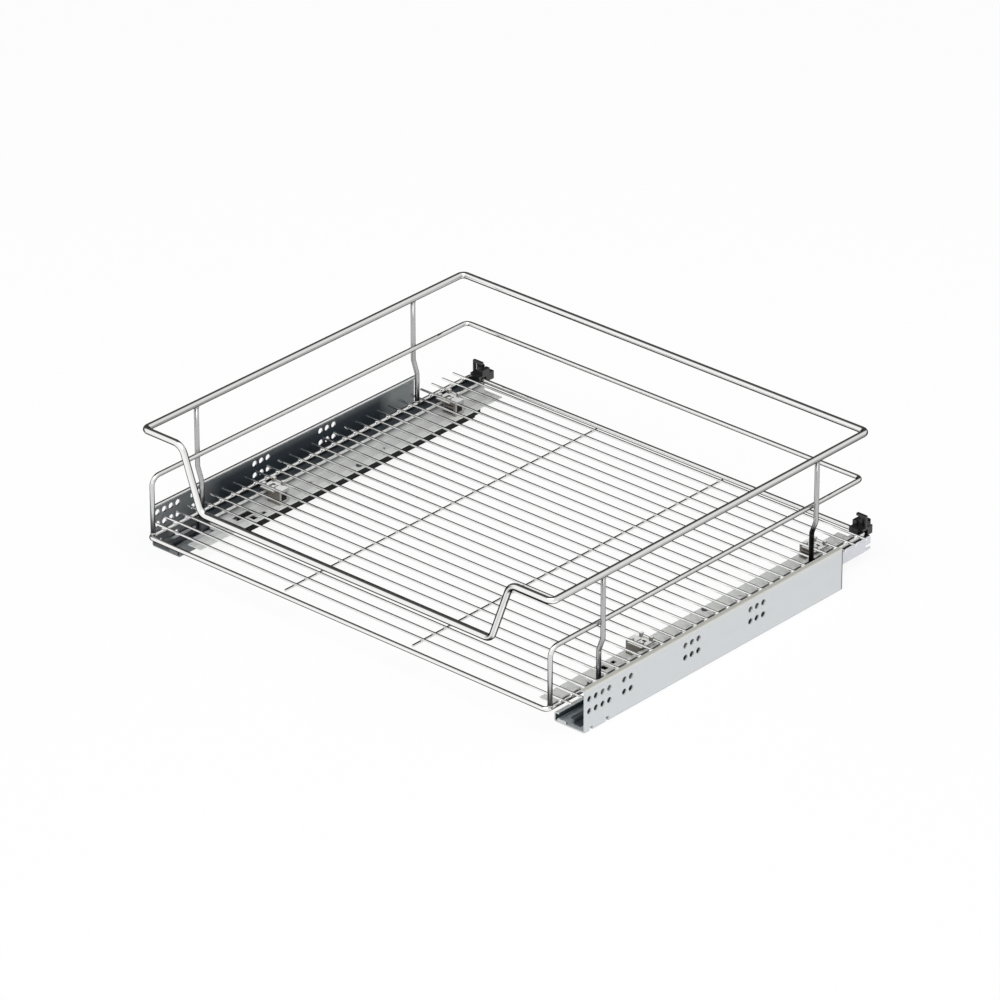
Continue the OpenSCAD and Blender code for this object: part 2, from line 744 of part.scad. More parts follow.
module rear_bracket() {
    end_u = bracket_u + bracket_w;
    color(black)
    difference() {
        union() {
            block([bracket_u, bracket_front_y, hook_z], [end_u, bracket_body_y, arm_z]);
            block([bracket_u + 4, bracket_front_y - 3.2, drawer_top_z], [end_u, bracket_front_y, arm_z]);
            block([bracket_u, bracket_wall_y, drawer_under_z], [end_u, bracket_body_y, arm_z]);
            block([heel_u, bracket_wall_y, drawer_under_z], [end_u, bracket_back_y, arm_z]);
            for (p = bracket_uprights)
                block([bracket_u + p[0], bracket_front_y + p[1], arm_z - eps],
                    [bracket_u + p[0] + p[2], bracket_front_y + p[1] + p[3], arm_z + p[4]]);
        }
        // Windows in the taller upright part, and a pocket in the back
        block([bracket_u + 2, bracket_front_y, arm_z + 1.5], [bracket_u + 5, bracket_wall_y, arm_z + 10.5]);
        block([bracket_u + 7, bracket_front_y, arm_z + 7], [bracket_u + 13, bracket_wall_y, arm_z + 10.5]);
        block([heel_u + 2, bracket_back_y - 3, drawer_under_z + 2],
            [end_u - 2, bracket_back_y + 1, arm_z - 2]);
        translate([adjuster_u, adjuster_y, adjuster_z]) cylinder(d = adjuster_d + 0.2, h = 20);
    }
}

module height_adjuster() {
    head_h = 5.5;
    slot_d = 2;
    color(black)
    translate([adjuster_u, adjuster_y, 0])
    difference() {
        union() {
            translate([0, 0, adjuster_z]) cylinder(d = adjuster_d, h = arm_z - adjuster_z + eps);
            translate([0, 0, arm_z]) cylinder(d = 2 * adjuster_d, h = head_h);
        }
        block([-5, -0.6, arm_z + head_h - slot_d], [5, 0.6, arm_z + head_h + 1]);
    }
}

// The basket

module floor_frame_wire() {
    closed_wire([
        [-frame_x, frame_front_y, frame_z], [frame_x, frame_front_y, frame_z],
        [frame_x, frame_back_y, frame_z], [-frame_x, frame_back_y, frame_z]
    ], [for (i = [0 : 3]) frame_corner_r], frame_d);
}

module floor_frame() {
    color(chrome) floor_frame_wire();
}

module top_rail_wire() {
    dip_z = top_rail_z - dip_depth;
    closed_wire([
        [-rail_x, rail_front_y, top_rail_z],
        [-dip_top_w / 2, rail_front_y, top_rail_z],
        [-dip_bottom_w / 2, rail_front_y, dip_z],
        [dip_bottom_w / 2, rail_front_y, dip_z],
        [dip_top_w / 2, rail_front_y, top_rail_z],
        [rail_x, rail_front_y, top_rail_z],
        [rail_x, rail_back_y, top_rail_z],
        [-rail_x, rail_back_y, top_rail_z]
    ], [
        rail_corner_r, dip_upper_r, dip_lower_r, dip_lower_r,
        dip_upper_r, rail_corner_r, rail_corner_r, rail_corner_r
    ], rail_d);
}

module top_rail() {
    color(chrome) top_rail_wire();
}

// The mid rail stands on the floor frame with a leg at each front corner
module mid_rail() {
    leg_y = frame_front_y + frame_corner_r;
    color(chrome)
    difference() {
        open_wire([
            [-frame_x, leg_y, frame_z], [-frame_x, leg_y, mid_rail_z],
            [-frame_x, rail_back_y, mid_rail_z], [frame_x, rail_back_y, mid_rail_z],
            [frame_x, leg_y, mid_rail_z], [frame_x, leg_y, frame_z]
        ], [leg_bend_r, leg_bend_r, rail_corner_r, rail_corner_r, leg_bend_r, leg_bend_r], frame_d);
        floor_frame_wire();
    }
}

// A post runs from the top rail past the outside of the mid rail down to the floor frame
module post(y) {
    color(chrome)
    difference() {
        open_wire([
            [-rail_x, y, top_rail_z], [-rail_x, y, frame_z + jog_top],
            [-frame_x, y, frame_z + jog_bottom], [-frame_x, y, frame_z]
        ], [for (i = [0 : 3]) jog_r], frame_d);
        bar_y(-frame_x, y - frame_d, y + frame_d, frame_z, frame_d);
        bar_y(-rail_x, y - frame_d, y + frame_d, top_rail_z, rail_d);
    }
}

// A post that would meet a floor wire stands just in front of or behind it
post_room = (frame_d + floor_wire_d) / 2 + gap;
function near_wire(y) = wire_y(round((y - wire_y(0)) / wire_pitch));
function beside_wire(y) =
    abs(y - near_wire(y)) < post_room ? near_wire(y) + (y < near_wire(y) ? -post_room : post_room) : y;

post_front_y = beside_wire(rail_front_y + post_set);
post_rear_y = beside_wire(rail_back_y - post_set);

module floor_wires() {
    color(chrome)
    for (k = [0 : wire_count - 1])
        translate([-wire_l / 2, wire_y(k), floor_wire_z])
            rotate([0, 90, 0]) cylinder(d = floor_wire_d, h = wire_l);
}

module cross_wires() {
    room = frame_d / 2 + cross_wire_room;
    color(chrome)
    for (x = [-cross_wire_spacing / 2, cross_wire_spacing / 2])
        bar_y(x, frame_front_y + room, frame_back_y - room, cross_wire_z, cross_wire_d);
}

on_side("left") cabinet_profile();  // cabinet_profile_left
on_side("right") cabinet_profile();  // cabinet_profile_right
on_side("left") guide_strip();  // guide_strip_left
on_side("right") guide_strip();  // guide_strip_right
on_side("left") guide_rivets();  // guide_rivets_left
on_side("right") guide_rivets();  // guide_rivets_right
on_side("left") stop_buffer();  // stop_buffer_left
on_side("right") stop_buffer();  // stop_buffer_right
on_side("left") damper_housing();  // damper_housing_left
on_side("right") damper_housing();  // damper_housing_right
on_side("left") damper_cover();  // damper_cover_left
on_side("right") damper_cover();  // damper_cover_right
on_side("left") damper_cylinder();  // damper_cylinder_left
on_side("right") damper_cylinder();  // damper_cylinder_right
on_side("left") damper_rod();  // damper_rod_left
on_side("right") damper_rod();  // damper_rod_right
on_side("left") closing_spring();  // closing_spring_left
on_side("right") closing_spring();  // closing_spring_right
on_side("left") catch_slider();  // catch_slider_left
on_side("right") catch_slider();  // catch_slider_right
on_side("left") middle_profile();  // middle_profile_left
on_side("right") middle_profile();  // middle_profile_right
on_side("left") lower_cage();  // lower_cage_left
on_side("right") lower_cage();  // lower_cage_right
on_side("left") lower_balls();  // lower_balls_left
on_side("right") lower_balls();  // lower_balls_right
on_side("left") upper_cage();  // upper_cage_left
on_side("right") upper_cage();  // upper_cage_right
on_side("left") upper_balls();  // upper_balls_left
on_side("right") upper_balls();  // upper_balls_right
on_side("left") drawer_profile();  // drawer_profile_left
on_side("right") drawer_profile();  // drawer_profile_right
on_side("left") catch_pin();  // catch_pin_left
on_side("right") catch_pin();  // catch_pin_right
on_side("left") wire_clip(front_clip_gap);  // front_clip_left
on_side("right") wire_clip(front_clip_gap);  // front_clip_right
on_side("left") wire_clip(rear_clip_gap);  // rear_clip_left
on_side("right") wire_clip(rear_clip_gap);  // rear_clip_right
on_side("left") rear_bracket();  // rear_bracket_left
on_side("right") rear_bracket();  // rear_bracket_right
on_side("left") height_adjuster();  // height_adjuster_left
on_side("right") height_adjuster();  // height_adjuster_right
top_rail();
mid_rail();
floor_frame();
floor_wires();
cross_wires();
post(post_front_y);  // post_front_left
mirror([1, 0, 0]) post(post_front_y);  // post_front_right
post(post_rear_y);  // post_rear_left
mirror([1, 0, 0]) post(post_rear_y);  // post_rear_right
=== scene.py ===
# %% [markdown]
# A wire basket that pulls out of a kitchen cabinet on two undermount runners.
# The imported model gives every piece at its real size. Here the wires get round, smooth
# surfaces, the clips get the openings of their hollows as dark sheets of painted shade, and
# every piece gets its finish.

import bpy
import numpy as np
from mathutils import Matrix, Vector


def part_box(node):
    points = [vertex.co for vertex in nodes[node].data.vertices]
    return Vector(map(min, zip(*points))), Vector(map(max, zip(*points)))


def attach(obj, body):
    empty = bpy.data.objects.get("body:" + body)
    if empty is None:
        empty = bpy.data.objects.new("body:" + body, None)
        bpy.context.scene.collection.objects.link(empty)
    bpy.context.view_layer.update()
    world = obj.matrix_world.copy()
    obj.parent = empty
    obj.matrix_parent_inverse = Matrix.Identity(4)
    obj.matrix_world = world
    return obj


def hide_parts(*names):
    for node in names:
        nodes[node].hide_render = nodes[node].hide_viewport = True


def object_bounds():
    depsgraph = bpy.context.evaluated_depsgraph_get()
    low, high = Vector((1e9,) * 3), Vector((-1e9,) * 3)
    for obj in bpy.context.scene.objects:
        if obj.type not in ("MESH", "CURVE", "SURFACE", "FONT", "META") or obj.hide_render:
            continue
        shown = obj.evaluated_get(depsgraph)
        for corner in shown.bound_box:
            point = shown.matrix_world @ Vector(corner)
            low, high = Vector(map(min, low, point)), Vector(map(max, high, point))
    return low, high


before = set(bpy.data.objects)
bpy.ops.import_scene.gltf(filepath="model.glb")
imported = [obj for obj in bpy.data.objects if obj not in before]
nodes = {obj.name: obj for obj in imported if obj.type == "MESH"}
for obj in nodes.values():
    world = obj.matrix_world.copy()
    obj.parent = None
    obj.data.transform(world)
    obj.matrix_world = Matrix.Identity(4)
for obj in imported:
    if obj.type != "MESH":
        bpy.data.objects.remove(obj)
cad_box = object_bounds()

MM = 0.001
SIDES = {"left": -1.0, "right": 1.0}
print("nodes", len(nodes))
print("CAD box", [round(v, 4) for v in (*cad_box[0], *cad_box[1])])

# %% [markdown]
# The camera stands where the photograph was taken from: far away with a long lens, so
# that lines along the basket's depth hardly converge. Its place, its direction and its lens
# were worked out from the picture's own lines. The place is a point of the basket's frame.

# %% Camera
view_azimuth = np.radians(41.739)
view_elevation = np.radians(27.677)
camera_place = Vector((4.0277, -4.5324, 3.2451))
sensor_width = 36.0
focal_length = 252.64
towards = Vector((
    -np.sin(view_azimuth) * np.cos(view_elevation),
    np.cos(view_azimuth) * np.cos(view_elevation),
    -np.sin(view_elevation),
))
camera = bpy.data.objects.new("camera", bpy.data.cameras.new("camera"))
bpy.context.scene.collection.objects.link(camera)
camera.location = camera_place
camera.rotation_mode = "QUATERNION"
camera.rotation_quaternion = towards.to_track_quat("-Z", "Y")
camera.data.sensor_width = sensor_width
camera.data.lens = focal_length
camera.data.clip_start = 0.1
camera.data.clip_end = 100.0
bpy.context.scene.camera = camera
bpy.context.scene.view_settings.view_transform = "Standard"

# %% [markdown]
# The floor is one large pale sheet just under the runners. A strong lamp could make it white,
# but it would wash out the basket too. So the floor gives out white by itself where the camera
# or a reflection sees it. A small share of it stays plain paint, which takes the shadow.

# %% Floor
def node_tree(owner):
    """The owner's emptied node tree."""
    owner.use_nodes = True
    owner.node_tree.nodes.clear()
    return owner.node_tree


def add(tree, kind, **values):
    """A new node of that kind.

    Values name its settings, and a name that it lacks is an input socket."""
    made = tree.nodes.new(kind)
    for name, value in values.items():
        if hasattr(made, name):
            setattr(made, name, value)
        else:
            made.inputs[name.replace("_", " ")].default_value = value
    return made


half_floor = 30.0
floor_colour = (0.92, 0.92, 0.92, 1.0)
floor_white = 0.91
floor_gap = 0.2 * MM
floor_z = cad_box[0].z - floor_gap

floor_mesh = bpy.data.meshes.new("floor")
floor_corners = [(-1, -1), (1, -1), (1, 1), (-1, 1)]
floor_points = [(x * half_floor, y * half_floor, floor_z) for x, y in floor_corners]
floor_mesh.from_pydata(floor_points, [], [(0, 1, 2, 3)])
floor = bpy.data.objects.new("floor", floor_mesh)
bpy.context.scene.collection.objects.link(floor)

floor_finish = bpy.data.materials.new("floor")
tree = node_tree(floor_finish)
path = add(tree, "ShaderNodeLightPath")
seen = add(tree, "ShaderNodeMath", operation="MAXIMUM")
seen_through = add(tree, "ShaderNodeMath", operation="MAXIMUM")
share = add(tree, "ShaderNodeMath", operation="MULTIPLY")
share.inputs[1].default_value = floor_white
paint = add(tree, "ShaderNodeBsdfDiffuse", Color=floor_colour)
white = add(tree, "ShaderNodeEmission", Strength=1.0)
both = add(tree, "ShaderNodeMixShader")
out = add(tree, "ShaderNodeOutputMaterial")
tree.links.new(path.outputs["Is Camera Ray"], seen.inputs[0])
tree.links.new(path.outputs["Is Glossy Ray"], seen.inputs[1])
tree.links.new(seen.outputs[0], seen_through.inputs[0])
tree.links.new(path.outputs["Is Transmission Ray"], seen_through.inputs[1])
tree.links.new(seen_through.outputs[0], share.inputs[0])
tree.links.new(share.outputs[0], both.inputs[0])
tree.links.new(paint.outputs[0], both.inputs[1])
tree.links.new(white.outputs[0], both.inputs[2])
tree.links.new(both.outputs[0], out.inputs["Surface"])
floor_mesh.materials.append(floor_finish)
print("floor at", round(floor_z, 5), "m")

# %% [markdown]
# Chrome has no colour of its own: it shows what stands around it. A sky of one brightness
# would make the wires look like white plastic. So the sky is bright all round except behind
# the basket on its left, where the room stays dim, and the dark line along the top of every
# wire is that dim corner. One large soft lamp adds light from above.

# %% Sky and lamp
# The sky is dim where a direction points to the left, to the back and above the horizon
sky_bright = 1.20
sky_dim = 0.10
dim_left = (0.10, -0.20)
dim_back = (-0.35, 0.00)
dim_above = (0.08, 0.16)

world = bpy.data.worlds.new("studio")
bpy.context.scene.world = world
tree = node_tree(world)
where = add(tree, "ShaderNodeTexCoord")
parts = add(tree, "ShaderNodeSeparateXYZ")
dim = None
for part, (start, end) in (("X", dim_left), ("Y", dim_back), ("Z", dim_above)):
    share = add(tree, "ShaderNodeMapRange", interpolation_type="SMOOTHSTEP",
                From_Min=start, From_Max=end)
    tree.links.new(parts.outputs[part], share.inputs["Value"])
    if dim:
        both = add(tree, "ShaderNodeMath", operation="MULTIPLY")
        tree.links.new(dim.outputs[0], both.inputs[0])
        tree.links.new(share.outputs[0], both.inputs[1])
        share = both
    dim = share
level = add(tree, "ShaderNodeMapRange", To_Min=sky_bright, To_Max=sky_dim)
sky = add(tree, "ShaderNodeBackground")
out = add(tree, "ShaderNodeOutputWorld")
tree.links.new(where.outputs["Generated"], parts.inputs[0])
tree.links.new(dim.outputs[0], level.inputs["Value"])
tree.links.new(level.outputs[0], sky.inputs["Strength"])
tree.links.new(sky.outputs[0], out.inputs["Surface"])


def soft_light(name, place, target, size, power):
    """A square lamp of that size at place, which faces target."""
    data = bpy.data.lights.new(name, "AREA")
    data.shape = "SQUARE"
    data.size = size
    data.energy = power
    lamp = bpy.data.objects.new(name, data)
    bpy.context.scene.collection.objects.link(lamp)
    lamp.location = place
    lamp.rotation_mode = "QUATERNION"
    lamp.rotation_quaternion = (Vector(target) - Vector(place)).to_track_quat("-Z", "Y")
    return lamp


lamp_place = (0.6, -0.8, 2.2)
lamp_size = 1.8
lamp_watts = 22.0
soft_light("top_light", lamp_place, (0, 0, 0), lamp_size, lamp_watts)
print("sky from", sky_dim, "to", sky_bright, "and a lamp of", lamp_watts, "W")

# %% [markdown]
# An effect that several finishes share is a node group with named inputs, built once. The
# first is the skin of a piece: a slow change of tone and gloss, and a very fine unevenness of
# the surface. Its pattern can be drawn out along one direction, which gives the faint lines of
# rolled sheet. Two noise textures are enough for it, and the surface needs no picture.

# %% The skin group
def new_group(name, inputs, outputs):
    """An empty shader group with float, vector or colour sockets, as (name, kind, default)."""
    group = bpy.data.node_groups.new(name, "ShaderNodeTree")
    for socket, kind, default in inputs:
        made = group.interface.new_socket(socket, in_out="INPUT", socket_type=kind)
        made.default_value = default
    for socket, kind in outputs:
        group.interface.new_socket(socket, in_out="OUTPUT", socket_type=kind)
    return group, add(group, "NodeGroupInput"), add(group, "NodeGroupOutput")


def build_skin_group():
    """Colour = base x (1 + noise x tone), roughness = gloss + noise x spread.

    The noise runs from -0.5 to 0.5. A finer noise gives the bump."""
    slow_detail, fine_detail = 3.0, 2.0
    finer_times = 9.0
    bump_height = 0.2 * MM
    group, given, result = new_group("metal_skin", [
        ("Colour", "NodeSocketColor", (0.7, 0.7, 0.7, 1.0)),
        ("Tone", "NodeSocketFloat", 0.05),
        ("Gloss", "NodeSocketFloat", 0.2),
        ("Spread", "NodeSocketFloat", 0.05),
        ("Stretch", "NodeSocketVector", (1.0, 1.0, 1.0)),
        ("Scale", "NodeSocketFloat", 40.0),
        ("Unevenness", "NodeSocketFloat", 0.05),
    ], [
        ("Colour", "NodeSocketColor"),
        ("Roughness", "NodeSocketFloat"),
        ("Normal", "NodeSocketVector"),
    ])
    where = add(group, "ShaderNodeTexCoord")
    drawn = add(group, "ShaderNodeVectorMath", operation="MULTIPLY")
    slow = add(group, "ShaderNodeTexNoise", Detail=slow_detail)
    fine = add(group, "ShaderNodeTexNoise", Detail=fine_detail)
    finer = add(group, "ShaderNodeMath", operation="MULTIPLY")
    finer.inputs[1].default_value = finer_times
    centred = add(group, "ShaderNodeMath", operation="SUBTRACT")
    centred.inputs[1].default_value = 0.5
    toned = add(group, "ShaderNodeMath", operation="MULTIPLY_ADD")
    toned.inputs[2].default_value = 1.0
    tinted = add(group, "ShaderNodeVectorMath", operation="SCALE")
    rough = add(group, "ShaderNodeMath", operation="MULTIPLY_ADD")
    bump = add(group, "ShaderNodeBump", Distance=bump_height)
    link = group.links.new
    link(where.outputs["Object"], drawn.inputs[0])
    link(given.outputs["Stretch"], drawn.inputs[1])
    link(drawn.outputs[0], slow.inputs["Vector"])
    link(drawn.outputs[0], fine.inputs["Vector"])
    link(given.outputs["Scale"], slow.inputs["Scale"])
    link(given.outputs["Scale"], finer.inputs[0])
    link(finer.outputs[0], fine.inputs["Scale"])
    link(slow.outputs["Fac"], centred.inputs[0])
    link(centred.outputs[0], toned.inputs[0])
    link(given.outputs["Tone"], toned.inputs[1])
    link(given.outputs["Colour"], tinted.inputs[0])
    link(toned.outputs[0], tinted.inputs["Scale"])
    link(centred.outputs[0], rough.inputs[0])
    link(given.outputs["Spread"], rough.inputs[1])
    link(given.outputs["Gloss"], rough.inputs[2])
    link(fine.outputs["Fac"], bump.inputs["Height"])
    link(given.outputs["Unevenness"], bump.inputs["Strength"])
    link(tinted.outputs[0], result.inputs["Colour"])
    link(rough.outputs[0], result.inputs["Roughness"])
    link(bump.outputs[0], result.inputs["Normal"])
    return group


skin_group = build_skin_group()
print(skin_group.name, [socket.name for socket in skin_group.interface.items_tree])

# %% [markdown]
# A flat sheet mirrors one part of the room, and the sheets here face different parts of it.
# More lamps could give each its tone, but they would change all the other pieces. So that
# light and shade is painted: a tone is laid over a finish by masks. One mask finds the faces
# that look one way, and another finds what lies beyond a plane, such as the floor of the
# runner. A last group mixes in the tone.

# %% Masks and tones
def build_mask_group(name, vector, source, output):
    """Mask that goes from 0 to 1 while output . vector goes from From to To.

    output is the source node's normal or its place in metres."""
    group, given, result = new_group(name, [
        (vector, "NodeSocketVector", (1.0, 0.0, 0.0)),
        ("From", "NodeSocketFloat", 0.0),
        ("To", "NodeSocketFloat", 1.0),
    ], [("Mask", "NodeSocketFloat")])
    place = add(group, source)
    dot = add(group, "ShaderNodeVectorMath", operation="DOT_PRODUCT")
    mask = add(group, "ShaderNodeMapRange")
    group.links.new(place.outputs[output], dot.inputs[0])
    group.links.new(given.outputs[vector], dot.inputs[1])
    group.links.new(dot.outputs["Value"], mask.inputs["Value"])
    group.links.new(given.outputs["From"], mask.inputs["From Min"])
    group.links.new(given.outputs["To"], mask.inputs["From Max"])
    group.links.new(mask.outputs[0], result.inputs["Mask"])
    return group


def build_tone_group():
    """Colour with Tone mixed in by two masks: colour + (tone - colour) x first x second."""
    group, given, result = new_group("tone_where", [
        ("Colour", "NodeSocketColor", (0.7, 0.7, 0.7, 1.0)),
        ("Tone", "NodeSocketColor", (0.1, 0.1, 0.1, 1.0)),
        ("First", "NodeSocketFloat", 1.0),
        ("Second", "NodeSocketFloat", 1.0),
    ], [("Colour", "NodeSocketColor")])
    both = add(group, "ShaderNodeMath", operation="MULTIPLY")
    # A Mix node's sockets for colours are its inputs 6 and 7 and its output 2
    blend = add(group, "ShaderNodeMix", data_type="RGBA")
    group.links.new(given.outputs["First"], both.inputs[0])
    group.links.new(given.outputs["Second"], both.inputs[1])
    group.links.new(both.outputs[0], blend.inputs["Factor"])
    group.links.new(given.outputs["Colour"], blend.inputs[6])
    group.links.new(given.outputs["Tone"], blend.inputs[7])
    group.links.new(blend.outputs[2], result.inputs["Colour"])
    return group


side_group = build_mask_group("faces_towards", "Direction", "ShaderNodeNewGeometry", "Normal")
beyond_group = build_mask_group("beyond_plane", "Axis", "ShaderNodeTexCoord", "Object")
tone_group = build_tone_group()
print("masks and tones", [group.name for group in (side_group, beyond_group, tone_group)])

# %% [markdown]
# Every finish is made by one function. It places the skin group, sets its values and feeds
# a Principled shader. Tones of painted light and shade are laid over the base colour one after
# the other, each where one or two masks are set: the faces that look one way, or what lies
# beyond a plane. A metal's colour can also be painted darker towards its rim, as painted shade
# for the whole room that a round wire gathers there.

# %% How a finish is made
RIGHT, BACK, UP = (1, 0, 0), (0, 1, 0), (0, 0, 1)
LEFT, FRONT, DOWN = (-1, 0, 0), (0, -1, 0), (0, 0, -1)


def display_tone(red, green, blue):
    """Linear colour of a display tone from 0 to 255: (tone / 255) ^ 2.2."""
    return tuple((np.array([red, green, blue]) / 255.0) ** 2.2)


def facing(direction, start=0.3, end=0.7):
    """Mask of the faces whose normal . direction goes from start to end."""
    return side_group, "Direction", direction, start, end


def beyond(axis, start, end):
    """Mask of what lies further along axis than a place between start and end, in millimetres."""
    return beyond_group, "Axis", axis, start * MM, end * MM


def finish(name, colour, gloss, metallic, tone=0.05, spread=0.05, stretch=(1, 1, 1), scale=40.0,
           unevenness=0.05, rim=None, grazing=None, sheen=0.5, tones=()):
    """A material whose colour, roughness and bump come from the skin group.

    tone, spread, stretch, scale and unevenness are the skin group's inputs. rim gives painted
    shade at the edge: the share of the colour left there, and the facing values between which it
    falls to that share. grazing is how much a metal with a rim mirrors at its very edge, the rim's
    share unless given. sheen is how strongly a surface mirrors where it isn't metal. tones is a
    list of (colour, mask) or (colour, mask, mask), colours of painted light and shade."""
    material = bpy.data.materials.new(name)
    tree = node_tree(material)
    link = tree.links.new
    skin = add(tree, "ShaderNodeGroup", node_tree=skin_group)
    skin_values = {"Colour": (*colour, 1.0), "Tone": tone, "Gloss": gloss, "Spread": spread,
                   "Stretch": stretch, "Scale": scale, "Unevenness": unevenness}
    for socket, value in skin_values.items():
        skin.inputs[socket].default_value = value
    last = None
    for laid, *masks in tones:
        blend = add(tree, "ShaderNodeGroup", node_tree=tone_group)
        blend.inputs["Colour"].default_value = (*colour, 1.0)
        blend.inputs["Tone"].default_value = (*laid, 1.0)
        for socket, (group, vector, direction, start, end) in zip(("First", "Second"), masks):
            mask = add(tree, "ShaderNodeGroup", node_tree=group)
            mask.inputs[vector].default_value = direction
            mask.inputs["From"].default_value = start
            mask.inputs["To"].default_value = end
            link(mask.outputs["Mask"], blend.inputs[socket])
        if last:
            link(last.outputs["Colour"], blend.inputs["Colour"])
        last = blend
    if last:
        link(last.outputs["Colour"], skin.inputs["Colour"])
    shader = add(tree, "ShaderNodeBsdfPrincipled", Metallic=metallic)
    shader.inputs["Specular IOR Level"].default_value = sheen
    out = add(tree, "ShaderNodeOutputMaterial")
    # Painted shade: the base colour is darkened towards the rim by the Layer Weight's facing
    if rim:
        share, start, end = rim
        edge = add(tree, "ShaderNodeLayerWeight", Blend=0.5)
        left = add(tree, "ShaderNodeMapRange", interpolation_type="SMOOTHSTEP",
                   From_Min=start, From_Max=end, To_Min=1.0, To_Max=share)
        edged = add(tree, "ShaderNodeVectorMath", operation="SCALE")
        link(edge.outputs["Facing"], left.inputs["Value"])
        link(skin.outputs["Colour"], edged.inputs[0])
        link(left.outputs[0], edged.inputs["Scale"])
        link(edged.outputs[0], shader.inputs["Base Color"])
        at_edge = share if grazing is None else grazing
        shader.inputs["Specular Tint"].default_value = (at_edge, at_edge, at_edge, 1.0)
    else:
        link(skin.outputs["Colour"], shader.inputs["Base Color"])
    link(skin.outputs["Roughness"], shader.inputs["Roughness"])
    link(skin.outputs["Normal"], shader.inputs["Normal"])
    link(shader.outputs[0], out.inputs["Surface"])
    return material


print("display tone 128 is", np.round(display_tone(128, 128, 128), 3))

# %% [markdown]
# Chrome is a mirror-like metal, so its look is that of the room. The dim sky darkens the
# upper edge of each rail. Tones paint a grey reflection on the side rails' faces, and painted
# shade on the lower edge, which faces another way on the rails across than on the side rails,
# and on both edges of the slanted parts of the dip. The thin floor wires have a painted dark
# upper side and painted light ends, and the cross wires a painted dark top. The uprights
# mirror the white floor only, so their chrome is painted darker, with painted light on the
# front legs, and the rear right one ends in painted shadow.

# %% Chrome
side_rail_face = (0.783, 0, 0.622)
under_side_rail = (0.622, 0, -0.783)
under_cross_rail = (0, -0.576, -0.817)
slant_right = (0.746, 0.666, 0)
slant_left = (-0.746, -0.666, 0)
cross_wire_top = (-0.24, 0, 0.97)
rear_right = (0.7071, 0.7071, 0)

side_rail_painted_reflection = (0.74, 0.74, 0.73)
edge_painted_shade = (0.07, 0.07, 0.07)
thin_wire_painted_shade = (0.03, 0.03, 0.03)
thin_wire_end_painted_light = (0.95, 0.95, 0.94)
cross_wire_painted_shade = (0.01, 0.01, 0.01)
leg_painted_light = (0.66, 0.66, 0.66)

smooth_skin = dict(tone=0.03, spread=0.04, scale=30.0, unevenness=0.02)
chrome = finish("chrome", (0.92, 0.92, 0.91), gloss=0.05, metallic=1.0, **smooth_skin,
                rim=(0.50, 0.40, 0.70), grazing=0.08, tones=[
                    # A painted grey reflection on the side rails' faces, and painted shade on the
                    # lower edges and on both edges of the dip's slants
                    (side_rail_painted_reflection, facing(side_rail_face, 0.70, 0.92)),
                    (edge_painted_shade, facing(under_cross_rail, 0.60, 0.76)),
                    (edge_painted_shade, facing(under_side_rail, 0.76, 0.92)),
                    (edge_painted_shade, facing(slant_right, 0.66, 0.82)),
                    (edge_painted_shade, facing(slant_left, 0.66, 0.82)),
                ])
thin_chrome = finish("thin_chrome", (0.90, 0.90, 0.89), gloss=0.06, metallic=1.0, **smooth_skin,
                     rim=(0.5, 0.7, 0.95), tones=[
                         # Painted shade on the upper side, and painted light on the ends over the
                         # runners
                         (thin_wire_painted_shade, facing(UP, 0.68, 0.80)),
                         (thin_wire_end_painted_light, beyond(RIGHT, 216, 222)),
                         (thin_wire_end_painted_light, beyond(LEFT, 216, 222)),
                     ])
shaded_chrome = finish("shaded_chrome", (0.88, 0.88, 0.87), gloss=0.12, metallic=0.8,
                       tone=0.1, spread=0.05, scale=60.0, unevenness=0.02, tones=[
                           # Painted shade on the top of the cross wires
                           (cross_wire_painted_shade, facing(cross_wire_top, 0.42, 0.62)),
                       ])
# A copy of chrome painted darker, for uprights that mirror only the white floor
upright_chrome_painted_dark = finish("upright_chrome_painted_dark", (0.46, 0.46, 0.465), gloss=0.16, metallic=0.75,
                        tone=0.05, spread=0.05, stretch=(1, 1, 0.1), scale=60.0, unevenness=0.03,
                        rim=(0.22, 0.30, 0.60), tones=[
                            # Painted light on the front legs, and painted shadow at the foot of
                            # the rear right post
                            (leg_painted_light, beyond(FRONT, 220, 225)),
                            (display_tone(44, 44, 46), beyond(DOWN, -74, -68),
                             beyond(rear_right, 200, 250)),
                        ])
for material in (chrome, thin_chrome, shaded_chrome, upright_chrome_painted_dark):
    print("chrome finish", material.name)

# %% [markdown]
# The runners are bent from zinc-plated sheet. It is duller than chrome, with faint lines
# along the direction in which it was rolled, so its noise is drawn out along the depth. The
# left plate turns its inside to the viewer and mirrors the dim part of the room, while the
# right plate turns its outside to the light. The tones paint that light and shade into the
# colour: painted shade on the inner faces, painted light on the lips, and thin lines of
# painted shade where the sheet ends.

# %% Zinc-plated sheet
along_depth = (1.0, 0.02, 1.0)
zinc_skin = dict(tone=0.06, spread=0.10, stretch=along_depth, scale=300.0, unevenness=0.08)
sheet_edge_painted_shade = display_tone(96, 98, 100)

